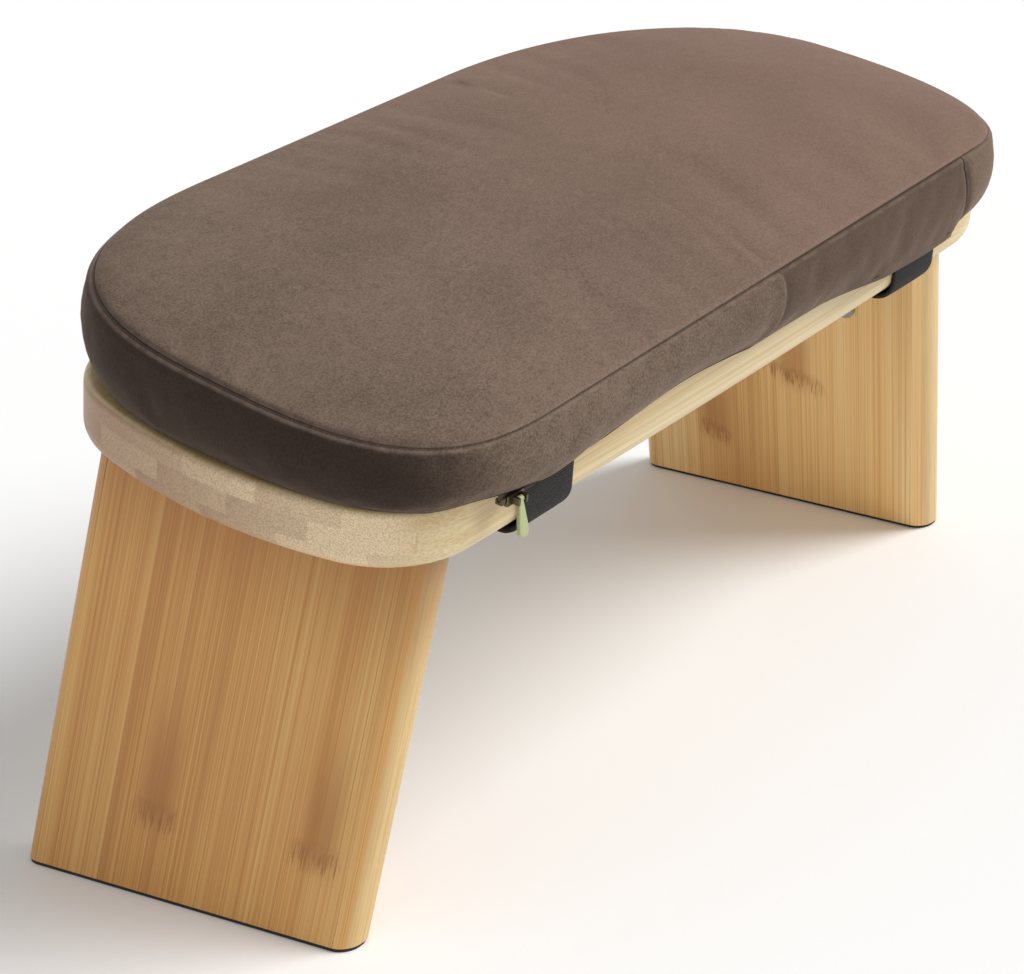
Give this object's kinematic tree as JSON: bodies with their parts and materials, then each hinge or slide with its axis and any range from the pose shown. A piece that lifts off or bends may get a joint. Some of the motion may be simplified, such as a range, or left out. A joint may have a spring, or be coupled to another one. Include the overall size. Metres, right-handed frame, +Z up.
{
  "type": "folding meditation bench",
  "caption": "Low kneeling bench: a rounded bamboo seat tilted forward on splayed board legs that fold under it, with a strapped velvet cushion.",
  "frame": {"origin": "middle of the footprint, on the floor under the four foot edges", "axes": "+X along the seat's length, +Y towards its higher back edge, +Z up"},
  "size_m": [0.4604, 0.2314, 0.251],
  "materials": {
    "bamboo_seat": "satin lacquered laminated bamboo",
    "bamboo_leg": "satin lacquered vertical-grain bamboo",
    "foot_rubber": "matt anti-slip rubber sheet",
    "foam": "open-cell polyurethane foam",
    "velvet": "short-pile polyester velvet",
    "grip_fabric": "dotted anti-slip fabric",
    "elastic": "ribbed woven elastic",
    "zipper": "brown nylon coil zipper tape",
    "zipper_metal": "dark bronze plating on die-cast zinc",
    "zipper_pull": "pale green enamel on die-cast zinc",
    "hinge_steel": "zinc-plated pressed steel",
    "screw_steel": "zinc-plated steel"
  },
  "bodies": {
    "seat": {"seat_board": "bamboo_seat", "right_hinge_seat_leaf": "hinge_steel", "left_hinge_seat_leaf": "hinge_steel", "right_hinge_pin": "hinge_steel", "left_hinge_pin": "hinge_steel", "right_hinge_seat_screws": "screw_steel", "left_hinge_seat_screws": "screw_steel", "right_elastic_strap": "elastic", "left_elastic_strap": "elastic", "cushion_foam": "foam", "cushion_top_panel": "velvet", "cushion_long_band": "velvet", "cushion_short_band": "velvet", "cushion_base_panel": "grip_fabric", "zipper_tape": "zipper"},
    "left_leg": {"left_leg_board": "bamboo_leg", "left_foot_pad": "foot_rubber", "left_hinge_leg_leaf": "hinge_steel", "left_hinge_leg_screws": "screw_steel"},
    "right_leg": {"right_leg_board": "bamboo_leg", "right_foot_pad": "foot_rubber", "right_hinge_leg_leaf": "hinge_steel", "right_hinge_leg_screws": "screw_steel"},
    "slider": {"zipper_slider": "zipper_metal"},
    "pull": {"zipper_pull": "zipper_pull"}
  },
  "joints": [
    {"name": "left_leg_fold", "type": "hinge", "parent": "seat", "child": "left_leg", "pos_m": [-0.1643, 0.00074, 0.16905], "axis": [0, -0.9823, -0.1874], "range_deg": [0, 103.5]},
    {"name": "right_leg_fold", "type": "hinge", "parent": "seat", "child": "right_leg", "pos_m": [0.1643, 0.00074, 0.16905], "axis": [0, 0.9823, 0.1874], "range_deg": [0, 95.5]},
    {"name": "zipper_slide", "type": "slide", "parent": "seat", "child": "slider", "axis": [1, 0, 0], "range_m": [0, 0.287]},
    {"name": "zipper_pull_swing", "type": "hinge", "parent": "slider", "child": "pull", "pos_m": [-0.1628, -0.10539, 0.1768], "axis": [-1, 0, 0], "range_deg": [-25, 90]}
  ]
}
